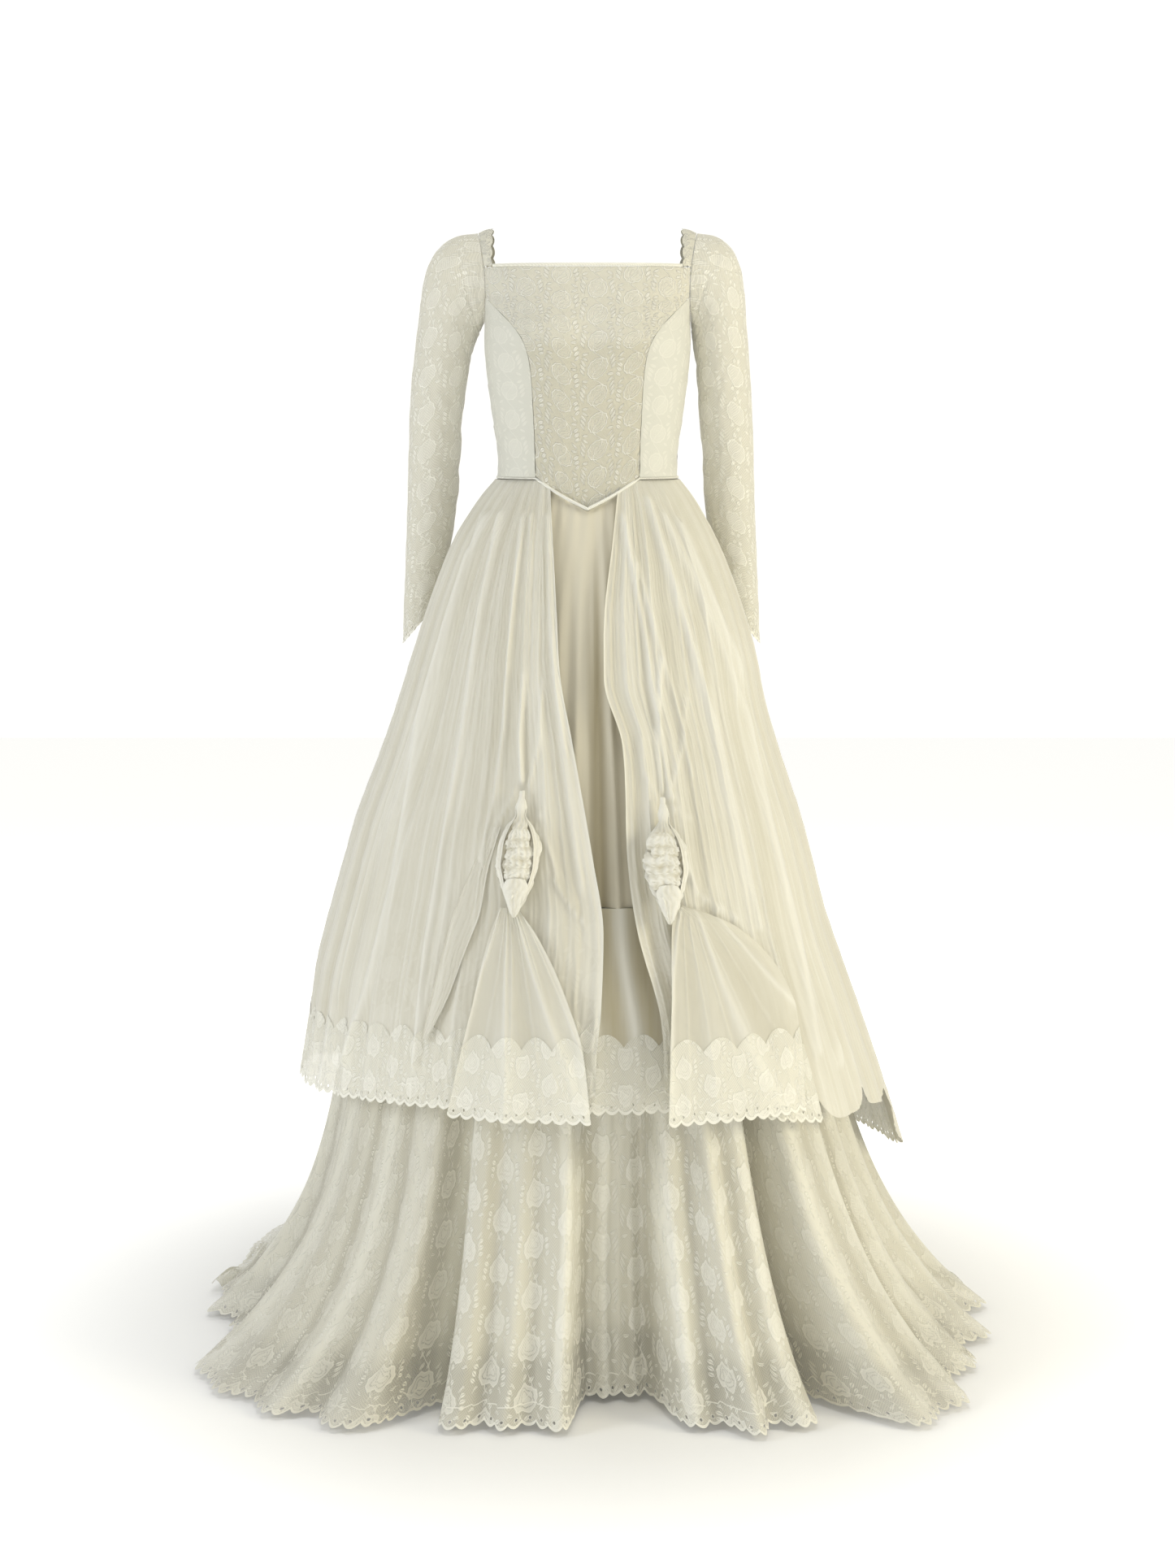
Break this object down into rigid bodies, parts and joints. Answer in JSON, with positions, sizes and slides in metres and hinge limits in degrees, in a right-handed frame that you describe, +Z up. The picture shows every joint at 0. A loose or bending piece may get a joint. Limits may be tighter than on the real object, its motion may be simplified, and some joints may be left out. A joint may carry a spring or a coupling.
{
  "type": "wedding dress",
  "caption": "Ivory wedding dress with square neck, long lace sleeves, fitted bodice, open gathered overskirt with rosettes and lace swags, lace tier and short train.",
  "frame": {"origin": "middle of the shoulder line, where the dress is held by the wearer's shoulders", "axes": "+Z up, the front of the dress faces -Y, +X to the right in the picture; the floor is at z -1.455"},
  "size_m": [1.068, 1.3186, 1.4574],
  "materials": {
    "ivory_satin": "satin",
    "ivory_lace": "matt",
    "ivory_chiffon": "soft sheen"
  },
  "bodies": {
    "root": {"back_button_1": "ivory_satin", "back_button_2": "ivory_satin", "back_button_3": "ivory_satin", "back_button_4": "ivory_satin", "back_button_5": "ivory_satin", "back_button_6": "ivory_satin", "back_button_7": "ivory_satin", "back_placket": "ivory_satin", "bodice_back_left": "ivory_satin", "bodice_back_right": "ivory_satin", "bodice_front": "ivory_lace", "bodice_side_left": "ivory_satin", "bodice_side_right": "ivory_satin", "border_back_left": "ivory_lace", "border_back_right": "ivory_lace", "border_centre": "ivory_lace", "border_fan_left": "ivory_lace", "border_fan_right": "ivory_lace", "border_front_left": "ivory_lace", "border_front_right": "ivory_lace", "border_side_left": "ivory_lace", "centre_flounce": "ivory_chiffon", "drape_left": "ivory_chiffon", "fan_left": "ivory_chiffon", "fan_right": "ivory_chiffon", "hem_lace_front_centre": "ivory_lace", "hem_lace_front_left": "ivory_lace", "hem_lace_front_right": "ivory_lace", "hem_lace_side_left": "ivory_lace", "hem_lace_side_right": "ivory_lace", "hem_lace_train_left": "ivory_lace", "hem_lace_train_right": "ivory_lace", "neck_band_back": "ivory_satin", "neck_band_front": "ivory_satin", "overskirt_back_left": "ivory_chiffon", "overskirt_back_right": "ivory_chiffon", "overskirt_front_left": "ivory_chiffon", "overskirt_front_right": "ivory_chiffon", "overskirt_side_left": "ivory_chiffon", "overskirt_side_right": "ivory_chiffon", "petal_left": "ivory_chiffon", "petal_right": "ivory_chiffon", "rosette_left": "ivory_chiffon", "rosette_right": "ivory_chiffon", "shoulder_strap_left": "ivory_lace", "shoulder_strap_right": "ivory_lace", "sleeve_left": "ivory_lace", "sleeve_right": "ivory_lace", "tier_front_centre": "ivory_lace", "tier_front_left": "ivory_lace", "tier_front_right": "ivory_lace", "tier_side_left": "ivory_lace", "tier_side_right": "ivory_lace", "train_left": "ivory_lace", "train_right": "ivory_lace", "underskirt_front": "ivory_satin", "underskirt_left": "ivory_satin", "underskirt_right": "ivory_satin", "waist_piping": "ivory_satin"}
  },
  "joints": []
}
